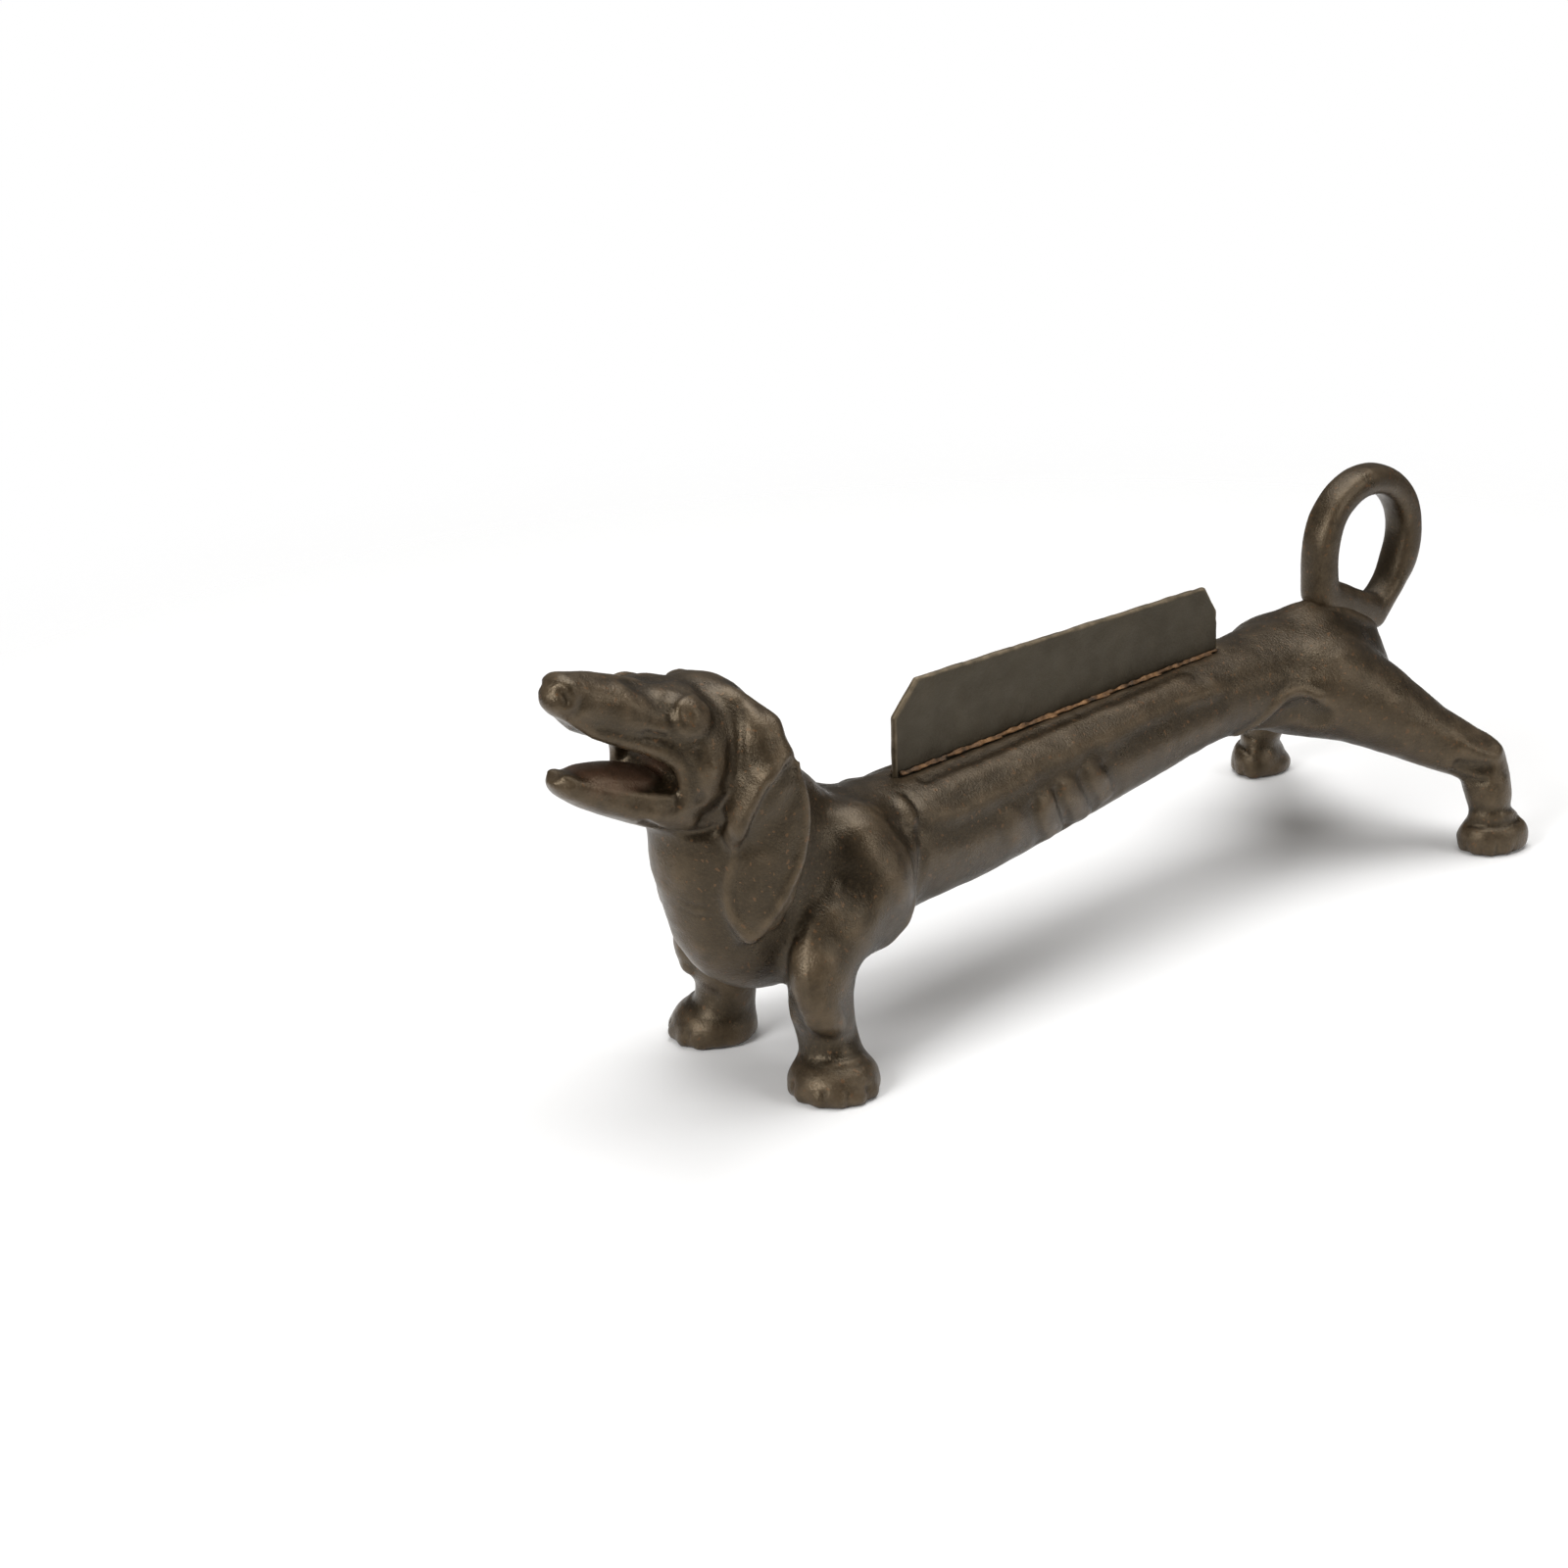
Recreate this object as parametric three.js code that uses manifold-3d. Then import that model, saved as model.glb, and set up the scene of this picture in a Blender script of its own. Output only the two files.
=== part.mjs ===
// Andiron in the form of a dachshund: a cast-iron dog that stands in the hearth, a steel plate
// let into its back that keeps the logs off the casting, and an iron tail ring to lift it by.
//
// Millimetres, +Z up. The dog looks along -Y, its left flank is +X, and the origin is on the
// hearth under the middle of its bounding box.
import * as THREE from 'three';
import { mergeVertices } from 'three/addons/utils/BufferGeometryUtils.js';
import Module from 'manifold-3d';

const wasm = await Module();
wasm.setup();

// ------------------------------------------------------------------ driving dimensions

// clearance between pieces that touch
const seatGap = 0.3;

// log plate: flat bar on edge, front corner cut off, standing in a slot along the spine.
// footFront and footRear are the heights of the spine where the plate leaves it.
const plate = {
  thickness: 3.2,
  front: -78.5,
  rear: 122,
  footFront: 107.2,
  footRear: 110.8,
  frontTop: 148,
  rearTop: 143,
  chamferLength: 14,
  chamferDrop: 14.5,
  rearChamferLength: 8,
  rearChamferDrop: 13,
  nickTop: 127.5,
  nickHeight: 2.5,
  nickDepth: 0.8,
  slotDepth: 9,
};

// braze run along each foot of the plate, on a narrow flat dressed on the spine
const fillet = { size: 2.4, setBack: 1.5, flatMargin: 0.5 };

// tail ring: loop, web and foot in one, its section a rounded rectangle
const ring = {
  centreY: 224,
  centreZ: 137.5,
  outerRadius: 36.4,
  innerRadius: 24.2,
  width: 15.6,
  rounding: 4.2,
  roundingSteps: 4,
  arcSteps: 17,
  webFront: { angle: -2.64, wall: 9.7 },
  webRear: { angle: -1.35, wall: 7.2 },
  webBend: { angle: -0.9, wall: 5.1 },
  heelAngle: -0.61,
  heelFoot: [221.8, 83.6],
  toeFootZ: 98,
};

// the flat on the rump that the ring stands on, and the tenon and pocket that hold it
const seat = { frontY: 187.1, frontZ: 116.7, fall: 0.48 };
const tenon = { halfWidth: 4, from: 15, to: 37, depth: 14 };

// ------------------------------------------------------------------ sculpting fields
// A form is a function of (x, y, z) that is negative inside the iron. The dog is the same on
// both sides, so every form is asked with x on the left flank.

function blend(a, b, radius) {
  const overlap = Math.max(radius - Math.abs(a - b), 0) / radius;
  return Math.min(a, b) - overlap * overlap * radius / 4;
}

function carve(a, tool, radius) {
  return -blend(-a, tool, radius);
}

// an egg: `lean` tips its top towards the head, `turn` swings its face round from the flank
// towards the head
function egg(x, y, z, centre, radii, lean = 0, turn = 0) {
  const dx = x - centre[0];
  const dy = y - centre[1];
  const dz = z - centre[2];
  const px = dx * Math.cos(turn) - dy * Math.sin(turn);
  const qy = dx * Math.sin(turn) + dy * Math.cos(turn);
  const py = qy * Math.cos(lean) + dz * Math.sin(lean);
  const pz = dz * Math.cos(lean) - qy * Math.sin(lean);
  const near = Math.hypot(px / radii[0], py / radii[1], pz / radii[2]);
  const steep = Math.hypot(px / radii[0] ** 2, py / radii[1] ** 2, pz / radii[2] ** 2);
  return near * (near - 1) / Math.max(steep, 1e-6);
}

function limb(x, y, z, joints) {
  let best = Infinity;
  for (let i = 0; i + 1 < joints.length; i++) {
    const [a, ra] = joints[i];
    const [b, rb] = joints[i + 1];
    const ab = [b[0] - a[0], b[1] - a[1], b[2] - a[2]];
    const ap = [x - a[0], y - a[1], z - a[2]];
    const along = (ap[0] * ab[0] + ap[1] * ab[1] + ap[2] * ab[2])
      / (ab[0] ** 2 + ab[1] ** 2 + ab[2] ** 2);
    const t = Math.min(Math.max(along, 0), 1);
    const off = Math.hypot(ap[0] - ab[0] * t, ap[1] - ab[1] * t, ap[2] - ab[2] * t);
    best = Math.min(best, off - (ra + (rb - ra) * t));
  }
  return best;
}

// a body lofted along Y through sections { y, z, w, h, n }: centre height, half width, half
// height and squareness
function loft(x, y, z, sections) {
  const last = sections.length - 1;
  const clamped = Math.min(Math.max(y, sections[0].y), sections[last].y);
  let i = 0;
  while (i < last - 1 && clamped > sections[i + 1].y) i++;
  const s = sections[i];
  const e = sections[i + 1];
  const before = sections[Math.max(i - 1, 0)];
  const after = sections[Math.min(i + 2, last)];
  const t = (clamped - s.y) / (e.y - s.y);
  const at = (key) => {
    const m0 = (e[key] - before[key]) / (e.y - before.y || 1) * (e.y - s.y);
    const m1 = (after[key] - s[key]) / (after.y - s.y || 1) * (e.y - s.y);
    return (1 + 2 * t) * (1 - t) ** 2 * s[key] + t * (1 - t) ** 2 * m0
      + t * t * (3 - 2 * t) * e[key] + t * t * (t - 1) * m1;
  };
  const w = at('w');
  const h = at('h');
  const dz = z - at('z');
  const n = at('n');
  const rho = ((Math.abs(x) / w) ** n + (Math.abs(dz) / h) ** n) ** (1 / n);
  const reach = Math.hypot(x, dz);
  const side = rho > 1e-3 ? reach - reach / rho : -Math.min(w, h);
  const past = y - clamped;
  if (past !== 0) return Math.hypot(Math.max(side, 0), past);
  const toEnd = Math.min(y - sections[0].y, sections[last].y - y);
  return Math.max(side, -toEnd - 0.01);
}

// ------------------------------------------------------------------ the dog

const muzzle = [
  { y: -259.8, z: 190.6, w: 3, h: 3, n: 2 },
  { y: -257.5, z: 191, w: 7, h: 6.6, n: 2.2 },
  { y: -251.5, z: 191.6, w: 10, h: 10.2, n: 2.3 },
  { y: -243, z: 186.4, w: 11.5, h: 11.8, n: 2.3 },
  { y: -228, z: 179.8, w: 16.5, h: 13.2, n: 2.4 },
  { y: -214, z: 174, w: 22, h: 13.4, n: 2.4 },
  { y: -198, z: 166.5, w: 26, h: 14.5, n: 2.2 },
];
const jaw = [
  { y: -260, z: 160, w: 3, h: 2, n: 2 },
  { y: -257.5, z: 156.5, w: 7, h: 5, n: 2.2 },
  { y: -249, z: 151.5, w: 11.5, h: 6.5, n: 2.3 },
  { y: -236, z: 144.5, w: 16.5, h: 7.5, n: 2.4 },
  { y: -220, z: 138, w: 22, h: 9.5, n: 2.3 },
  { y: -203, z: 134, w: 24, h: 13, n: 2 },
];
// the open mouth, cut right across
const mouth = [
  { y: -268, z: 171.5, w: 40, h: 13, n: 4 },
  { y: -256, z: 170.5, w: 40, h: 12, n: 4 },
  { y: -240, z: 162, w: 40, h: 9.8, n: 4 },
  { y: -228, z: 157.5, w: 40, h: 9, n: 4 },
  { y: -217, z: 153.5, w: 40, h: 8.5, n: 4 },
  { y: -210, z: 151.5, w: 40, h: 6.5, n: 4 },
  { y: -206.5, z: 151, w: 40, h: 2.5, n: 4 },
];
const trunk = [
  { y: -165, z: 84, w: 26, h: 34, n: 2 },
  { y: -135, z: 79, w: 29, h: 34.5, n: 2 },
  { y: -112, z: 78, w: 29.5, h: 32.8, n: 2 },
  { y: -82, z: 78.5, w: 29.5, h: 29.2, n: 2.1 },
  { y: -40, z: 79.6, w: 29, h: 28.6, n: 2.1 },
  { y: 20, z: 84, w: 26.5, h: 26, n: 2.1 },
  { y: 75, z: 88, w: 24, h: 23, n: 2.1 },
  { y: 112, z: 90.8, w: 23.5, h: 20.8, n: 2.1 },
  { y: 140, z: 89.5, w: 26, h: 22.5, n: 2 },
  { y: 165, z: 86, w: 29, h: 27, n: 1.9 },
  { y: 190, z: 82, w: 29, h: 28, n: 1.8 },
  { y: 212, z: 79, w: 25, h: 20, n: 1.8 },
  { y: 227, z: 77, w: 17, h: 13, n: 1.8 },
  { y: 235, z: 76, w: 8, h: 6, n: 2 },
];
// the flat form of an ear or a paw faces outward and forward by this much
const faceTurn = 0.66;
const hindTurn = 0.45;

function headForm(x, y, z) {
  let d = egg(x, y, z, [0, -188, 154.5], [26, 30, 28], 0.2);
  d = blend(d, loft(x, y, z, muzzle), 8);
  d = blend(d, egg(x, y, z, [11, -204, 176], [10, 9.5, 9]), 6);
  d = blend(d, egg(x, y, z, [17, -198, 152], [13, 16, 17]), 8);
  d = blend(d, loft(x, y, z, jaw), 6);
  d = blend(d, egg(x, y, z, [19.6, -205, 176], [8, 8, 7.8]), 2);
  return carve(d, loft(x, y, z, mouth), 2);
}

function earForm(x, y, z) {
  const fold = limb(x, y, z, [
    [[15, -179, 172.5], 7], [[28.5, -175.5, 162], 10.5], [[33, -178, 147], 9.5],
    [[30, -190, 126], 6]]);
  const flap = egg(x, y, z, [30.5, -176, 112], [6.5, 17, 42], -0.19, faceTurn);
  return blend(fold, flap, 7);
}

function foreForm(x, y, z) {
  let d = egg(x, y, z, [0, -157, 87], [28.5, 44, 51], 0.25);
  d = blend(d, egg(x, y, z, [0, -168, 106], [24, 38.5, 32]), 8);
  d = blend(d, egg(x, y, z, [0, -174, 127], [23.5, 33, 42]), 8);
  d = blend(d, limb(x, y, z, [
    [[19, -121, 94], 19], [[24, -118, 80], 21], [[25, -134, 66], 18]]), 8);
  d = blend(d, egg(x, y, z, [20, -119, 65], [19, 27, 20]), 6);
  d = blend(d, limb(x, y, z, [
    [[28, -143, 64], 17], [[33, -152, 49], 14], [[30, -150, 34], 13.5],
    [[33, -148, 17], 12.6]]), 7);
  d = blend(d, egg(x, y, z, [38, -158, 52], [9, 10, 16], 0, faceTurn), 5);
  d = blend(d, egg(x, y, z, [38.5, -151.5, 4], [19.5, 20, 14], 0, faceTurn), 4);
  return d;
}

function hindForm(x, y, z) {
  let d = limb(x, y, z, [
    [[16, 180, 83], 24.5], [[30, 198, 71], 21], [[47, 217, 55], 15.5],
    [[65, 236, 42], 12], [[70, 236, 25], 11.5]]);
  d = blend(d, egg(x, y, z, [73.5, 236, 5.5], [13.5, 18, 13], 0, hindTurn), 4);
  return d;
}

// the root of the tail, along the seat of the ring
const tailRoot = [[[0, 186.5, 100], 17.5], [[0, 215, 86.3], 17]];

function dogForm(px, y, z) {
  const x = Math.abs(px);
  let d = blend(loft(x, y, z, trunk), hindForm(x, y, z), 12);
  d = blend(d, limb(x, y, z, tailRoot), 5);
  d = blend(d, foreForm(x, y, z), 6);
  d = blend(d, headForm(x, y, z), 6);
  d = blend(d, earForm(x, y, z), 1.5);
  return d;
}

// ------------------------------------------------------------------ skin of a form
// A closed skin is laid over the form on a lattice whose planes may be unevenly spaced: one
// vertex in each cell that the surface crosses, drawn onto the surface, and one quad round
// each lattice edge that it crosses.

function planes(stops) {
  const list = [stops[0][0]];
  for (let i = 0; i + 1 < stops.length; i++) {
    const [from, step] = stops[i];
    const to = stops[i + 1][0];
    const count = Math.max(Math.round((to - from) / step), 1);
    for (let k = 1; k <= count; k++) list.push(from + (to - from) * k / count);
  }
  return list;
}

function slope(form, p, e = 0.4) {
  return [0, 1, 2].map((k) => {
    const hi = [...p];
    const lo = [...p];
    hi[k] += e;
    lo[k] -= e;
    return (form(...hi) - form(...lo)) / (2 * e);
  });
}

// the twelve edges of a cell as pairs of corners, a corner's bits being its steps in X, Y, Z,
// and its six faces as corners in turn
const cellEdges = [];
for (let a = 0; a < 8; a++) {
  for (const bit of [1, 2, 4]) if (!(a & bit)) cellEdges.push([a, a | bit]);
}
const edgeBetween = (a, b) => cellEdges.findIndex(([p, q]) => p === Math.min(a, b)
  && q === Math.max(a, b));
const cellFaces = [1, 2, 4].flatMap((normal) => {
  const [u, w] = [1, 2, 4].filter((bit) => bit !== normal);
  return [0, normal].map((base) => [base, base | u, base | u | w, base | w]);
}).map((face) => ({
  corners: face,
  edges: face.map((corner, n) => edgeBetween(corner, face[(n + 1) % 4])),
}));

// the edges of one cell that the surface crosses, grouped by the sheet that crosses them
function sheetsOf(v) {
  const sheet = cellEdges.map(([a, b], n) => ((v[a] < 0) !== (v[b] < 0) ? n : -1));
  const join = (m, n) => {
    const [from, to] = [sheet[m], sheet[n]];
    sheet.forEach((s, e) => { if (s === from) sheet[e] = to; });
  };
  for (const { corners, edges } of cellFaces) {
    const crossed = edges.filter((e) => sheet[e] >= 0);
    if (crossed.length === 2) join(...crossed);
    if (crossed.length === 4) {
      const middle = corners.reduce((sum, c) => sum + v[c], 0);
      const turn = (middle < 0) === (v[corners[0]] < 0) ? 0 : 3;
      join(edges[turn], edges[(turn + 1) % 4]);
      join(edges[(turn + 2) % 4], edges[(turn + 3) % 4]);
    }
  }
  return [...new Set(sheet.filter((s) => s >= 0))]
    .map((s) => cellEdges.map((_, e) => e).filter((e) => sheet[e] === s));
}

function drawOnto(form, start, low, high) {
  let p = start;
  for (let turn = 0; turn < 3; turn++) {
    const g = slope(form, p);
    const move = form(...p) / Math.max(g[0] ** 2 + g[1] ** 2 + g[2] ** 2, 0.2);
    p = p.map((c, n) => c - g[n] * move);
  }
  return p.map((c, n) => {
    const margin = (high[n] - low[n]) * 0.06;
    return Math.min(Math.max(c, low[n] + margin), high[n] - margin);
  });
}

function skin(form, lattice) {
  const size = lattice.map((list) => list.length);
  const node = (n) => (n[0] * size[1] + n[1]) * size[2] + n[2];
  const place = (n) => n.map((count, axis) => lattice[axis][count]);
  const value = new Float64Array(size[0] * size[1] * size[2]);
  const each = (from, trim, visit) => {
    for (let i = from; i < size[0] - trim; i++) {
      for (let j = from; j < size[1] - trim; j++) {
        for (let k = from; k < size[2] - trim; k++) visit([i, j, k]);
      }
    }
  };
  each(0, 0, (n) => { value[node(n)] = form(...place(n)); });
  const cornerOf = (n, c) => [n[0] + (c & 1), n[1] + ((c >> 1) & 1), n[2] + (c >> 2)];

  const points = [];
  const vertexOf = new Map();
  each(0, 1, (n) => {
    const v = [0, 1, 2, 3, 4, 5, 6, 7].map((c) => value[node(cornerOf(n, c))]);
    if (v.every((s) => s < 0) || v.every((s) => s >= 0)) return;
    for (const edges of sheetsOf(v)) {
      const middle = new THREE.Vector3();
      for (const e of edges) {
        const [a, b] = cellEdges[e];
        const from = new THREE.Vector3(...place(cornerOf(n, a)));
        const to = new THREE.Vector3(...place(cornerOf(n, b)));
        middle.addScaledVector(from.lerp(to, v[a] / (v[a] - v[b])), 1 / edges.length);
        vertexOf.set(node(n) * 12 + e, points.length / 3);
      }
      points.push(...drawOnto(form, middle.toArray(), place(n), place(cornerOf(n, 7))));
    }
  });

  const triangles = [];
  const apart = (m, n) => Math.hypot(...[0, 1, 2].map((c) => points[3 * m + c] - points[3 * n + c]));
  each(1, 1, (n) => {
    const inside = value[node(n)] < 0;
    for (const axis of [0, 1, 2]) {
      const next = [...n];
      next[axis]++;
      if (inside === (value[node(next)] < 0)) continue;
      const [u, w] = [(axis + 1) % 3, (axis + 2) % 3];
      const around = [[1, 1], [0, 1], [0, 0], [1, 0]].map(([du, dw]) => {
        const cell = [...n];
        cell[u] -= du;
        cell[w] -= dw;
        const corner = (du << u) | (dw << w);
        return vertexOf.get(node(cell) * 12 + edgeBetween(corner, corner | (1 << axis)));
      });
      if (!inside) around.reverse();
      const [p, q, r, s] = around;
      if (apart(p, r) < apart(q, s)) triangles.push(p, q, r, p, r, s);
      else triangles.push(q, r, s, q, s, p);
    }
  });
  const geometry = new THREE.BufferGeometry();
  geometry.setAttribute('position', new THREE.Float32BufferAttribute(points, 3));
  geometry.setIndex(triangles);
  return geometry;
}

// ------------------------------------------------------------------ solids

function solidOf(geometry) {
  const bare = geometry.clone();
  bare.deleteAttribute('normal');
  bare.deleteAttribute('uv');
  const merged = mergeVertices(bare, 1e-4);
  return new wasm.Manifold(new wasm.Mesh({
    numProp: 3,
    vertProperties: new Float32Array(merged.attributes.position.array),
    triVerts: new Uint32Array(merged.index.array),
  }));
}

function geometryOf(solid) {
  const mesh = solid.getMesh();
  const geometry = new THREE.BufferGeometry();
  geometry.setAttribute('position', new THREE.BufferAttribute(mesh.vertProperties, 3));
  geometry.setIndex(new THREE.BufferAttribute(mesh.triVerts, 1));
  geometry.computeVertexNormals();
  return geometry;
}

function block(min, max) {
  const size = max.map((m, n) => m - min[n]);
  const box = new THREE.BoxGeometry(...size);
  box.translate(...max.map((m, n) => (m + min[n]) / 2));
  return solidOf(box);
}

// ------------------------------------------------------------------ log plate and brazing

const footRise = (plate.footRear - plate.footFront) / (plate.rear - plate.front);
const footZ = (y) => plate.footFront + (y - plate.front) * footRise;

// a flat shape drawn in (Y, Z), given a thickness across X and centred on x
function acrossX(shape, thickness, x, options = {}) {
  const solid = new THREE.ExtrudeGeometry(shape, { depth: thickness, bevelEnabled: false, ...options });
  solid.applyMatrix4(new THREE.Matrix4().makeBasis(
    new THREE.Vector3(0, 1, 0), new THREE.Vector3(0, 0, 1), new THREE.Vector3(1, 0, 0)));
  solid.translate(x - thickness / 2, 0, 0);
  return solid;
}

function outline(points) {
  return new THREE.Shape(points.map(([y, z]) => new THREE.Vector2(y, z)));
}

function plateGeometry() {
  const nickMiddle = plate.nickTop - plate.nickHeight / 2;
  return acrossX(outline([
    [plate.front, footZ(plate.front) - plate.slotDepth],
    [plate.rear, footZ(plate.rear) - plate.slotDepth],
    [plate.rear, plate.nickTop - plate.nickHeight],
    [plate.rear - plate.nickDepth, nickMiddle],
    [plate.rear - plate.nickDepth / 2, plate.nickTop],
    [plate.rear - plate.nickDepth / 2, plate.rearTop - plate.rearChamferDrop],
    [plate.rear - plate.rearChamferLength, plate.rearTop],
    [plate.front + plate.chamferLength, plate.frontTop],
    [plate.front, plate.frontTop - plate.chamferDrop],
  ]), plate.thickness, 0);
}

// the slot, open upwards, and the flat dressed along it for the brazing
function slotSolid() {
  const above = plate.rearTop;
  const slot = acrossX(outline([
    [plate.front - seatGap, footZ(plate.front) - plate.slotDepth - seatGap],
    [plate.rear + seatGap, footZ(plate.rear) - plate.slotDepth - seatGap],
    [plate.rear + seatGap, above],
    [plate.front - seatGap, above],
  ]), plate.thickness + 2 * seatGap, 0);
  const from = plate.front + fillet.setBack - seatGap;
  const to = plate.rear - fillet.setBack + seatGap;
  const flat = acrossX(outline([
    [from, footZ(from)], [to, footZ(to)], [to, above], [from, above],
  ]), plate.thickness + 2 * (2 * seatGap + fillet.size + fillet.flatMargin), 0);
  return solidOf(slot).add(solidOf(flat));
}

function filletGeometry(side) {
  const from = plate.front + fillet.setBack;
  const to = plate.rear - fillet.setBack;
  const inner = plate.thickness / 2 + seatGap;
  const hollow = fillet.size * 0.42;
  const section = new THREE.Shape();
  section.moveTo(0, 0);
  section.lineTo(side * fillet.size, 0);
  section.lineTo(side * hollow, hollow);
  section.lineTo(0, fillet.size);
  section.closePath();
  const run = new THREE.ExtrudeGeometry(section, {
    depth: Math.hypot(to - from, footZ(to) - footZ(from)),
    bevelEnabled: false,
  });
  // the section was drawn in (X, Z): stand it up, with the run going back towards the head
  const along = new THREE.Vector3(0, to - from, footZ(to) - footZ(from)).normalize();
  const across = new THREE.Vector3(1, 0, 0);
  const up = across.clone().cross(along);
  run.applyMatrix4(new THREE.Matrix4().makeBasis(across, up, along.negate()));
  run.translate(side * inner, to, footZ(to) + seatGap);
  return run;
}

// ------------------------------------------------------------------ tail ring

// a block laid on the seat: across, along and up from the seat's front edge
function seatBlock(min, max) {
  const solid = block(min, max).rotate([-THREE.MathUtils.radToDeg(seat.fall), 0, 0]);
  return solid.translate([0, seat.frontY, seat.frontZ]);
}

// a point of the hole in the ring, at an angle and a wall's thickness in from the outside
function webPoint({ angle, wall }) {
  const radius = ring.outerRadius - wall;
  return [ring.centreY + radius * Math.cos(angle), ring.centreZ + radius * Math.sin(angle)];
}

const ringReach = 2 * ring.outerRadius;

function ringSolid() {
  const shape = new THREE.Shape();
  shape.moveTo(ring.centreY - ring.outerRadius, ring.toeFootZ);
  shape.lineTo(...ring.heelFoot);
  shape.absarc(ring.centreY, ring.centreZ, ring.outerRadius, ring.heelAngle, Math.PI, false);
  shape.closePath();
  const hole = new THREE.Path();
  hole.absarc(ring.centreY, ring.centreZ, ring.innerRadius, 0, Math.PI, false);
  hole.lineTo(...webPoint(ring.webFront));
  hole.lineTo(...webPoint(ring.webRear));
  hole.quadraticCurveTo(
    ...webPoint(ring.webBend), ring.centreY + ring.innerRadius, ring.centreZ);
  shape.holes.push(hole);
  const rounding = Math.min(ring.rounding, 0.4 * (ring.outerRadius - ring.innerRadius));
  const flatWidth = ring.width - 2 * rounding;
  const loop = acrossX(shape, flatWidth, 0, {
    curveSegments: ring.arcSteps,
    bevelEnabled: true,
    bevelThickness: rounding,
    bevelSize: rounding,
    bevelOffset: -rounding,
    bevelSegments: ring.roundingSteps,
  });
  const below = seatBlock(
    [-ringReach, -ringReach, -ringReach], [ringReach, 2 * ringReach, seatGap]);
  const peg = seatBlock(
    [-tenon.halfWidth, tenon.from, -tenon.depth], [tenon.halfWidth, tenon.to, 2 * seatGap]);
  return solidOf(loop).subtract(below).add(peg);
}

// what the ring takes out of the rump: the flat it stands on and the pocket for its tenon
function seatSolid() {
  const flat = seatBlock([-ring.width, -seatGap, 0], [ring.width, ringReach, ringReach]);
  const pocket = seatBlock(
    [-tenon.halfWidth - seatGap, tenon.from - seatGap, -tenon.depth - seatGap],
    [tenon.halfWidth + seatGap, tenon.to + seatGap, tenon.depth]);
  return flat.add(pocket);
}

// ------------------------------------------------------------------ pieces

const hearth = -60;
const dog = solidOf(skin(
  dogForm,
  [
    planes([[-96, 5.9], [96, 5.9]]),
    planes([[-268, 5], [-140, 6.2], [-100, 11], [130, 7.2], [268, 6.2]]),
    planes([[-17, 5.6], [213, 5.6]]),
  ],
)).subtract(block([-150, -300, hearth], [150, 300, 0]))
  .subtract(slotSolid())
  .subtract(seatSolid());

const iron = new THREE.MeshStandardMaterial({ color: 0x3a3128, roughness: 0.38, metalness: 0.5 });
const steel = new THREE.MeshStandardMaterial({ color: 0x4a4238, roughness: 0.5, metalness: 0.5 });
const bronze = new THREE.MeshStandardMaterial({ color: 0x7a5230, roughness: 0.6, metalness: 0.5 });

const andiron = new THREE.Group();
function piece(name, geometry, material) {
  const mesh = new THREE.Mesh(geometry, material);
  mesh.name = name;
  andiron.add(mesh);
}

piece('dog_casting', geometryOf(dog), iron);
piece('tail_ring', geometryOf(ringSolid()), iron);
piece('log_plate', plateGeometry(), steel);
piece('braze_fillet_left', filletGeometry(1), bronze);
piece('braze_fillet_right', filletGeometry(-1), bronze);

// the origin goes on the hearth under the middle of the bounding box
const bounds = new THREE.Box3().setFromObject(andiron);
const middle = bounds.getCenter(new THREE.Vector3());
for (const mesh of andiron.children) mesh.geometry.translate(-middle.x, -middle.y, -bounds.min.z);

export default andiron;
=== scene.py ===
import math

import bpy
import numpy as np
from mathutils import Matrix, Vector, noise


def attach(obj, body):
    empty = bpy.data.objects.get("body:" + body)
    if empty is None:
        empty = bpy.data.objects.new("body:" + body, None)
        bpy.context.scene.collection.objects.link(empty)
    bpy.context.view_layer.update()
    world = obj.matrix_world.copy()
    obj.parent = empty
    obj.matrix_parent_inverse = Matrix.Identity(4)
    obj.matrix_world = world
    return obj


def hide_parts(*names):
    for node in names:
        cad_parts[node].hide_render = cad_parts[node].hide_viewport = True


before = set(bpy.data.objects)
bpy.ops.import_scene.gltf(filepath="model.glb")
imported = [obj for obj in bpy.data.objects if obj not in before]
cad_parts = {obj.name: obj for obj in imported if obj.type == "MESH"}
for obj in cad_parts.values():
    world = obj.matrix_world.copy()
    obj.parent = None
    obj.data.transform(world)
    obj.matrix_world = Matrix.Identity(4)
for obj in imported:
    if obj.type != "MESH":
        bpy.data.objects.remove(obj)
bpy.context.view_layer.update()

MM = 0.001
MERGE_WITHIN = 0.02 * MM
FAR_AWAY = 1e9

# how far the shown pieces may reach, in mm, just inside the box of the solids
DOG_LOWEST = [-87.2, -259.8, 0.0]
DOG_HIGHEST = [87.2, 259.8, 201.2]
RING_HIGHEST = [87.0, 259.9, 201.0]

# ---------------------------------------------------------------- camera

camera_data = bpy.data.cameras.new("camera")
camera_data.lens = 82.56
camera_data.sensor_width = 36.0
camera_data.clip_end = 50.0
camera = bpy.data.objects.new("camera", camera_data)
bpy.context.collection.objects.link(camera)
camera.matrix_world = Matrix((
    (0.66052, -0.25693, 0.70548, 1.04291),
    (0.74987, 0.27276, -0.60275, -1.03071),
    (-0.03756, 0.92714, 0.37283, 0.67267),
    (0.0, 0.0, 0.0, 1.0),
))
bpy.context.scene.camera = camera
bpy.context.scene.view_settings.view_transform = "Standard"


# ---------------------------------------------------------------- hand tools

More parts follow.
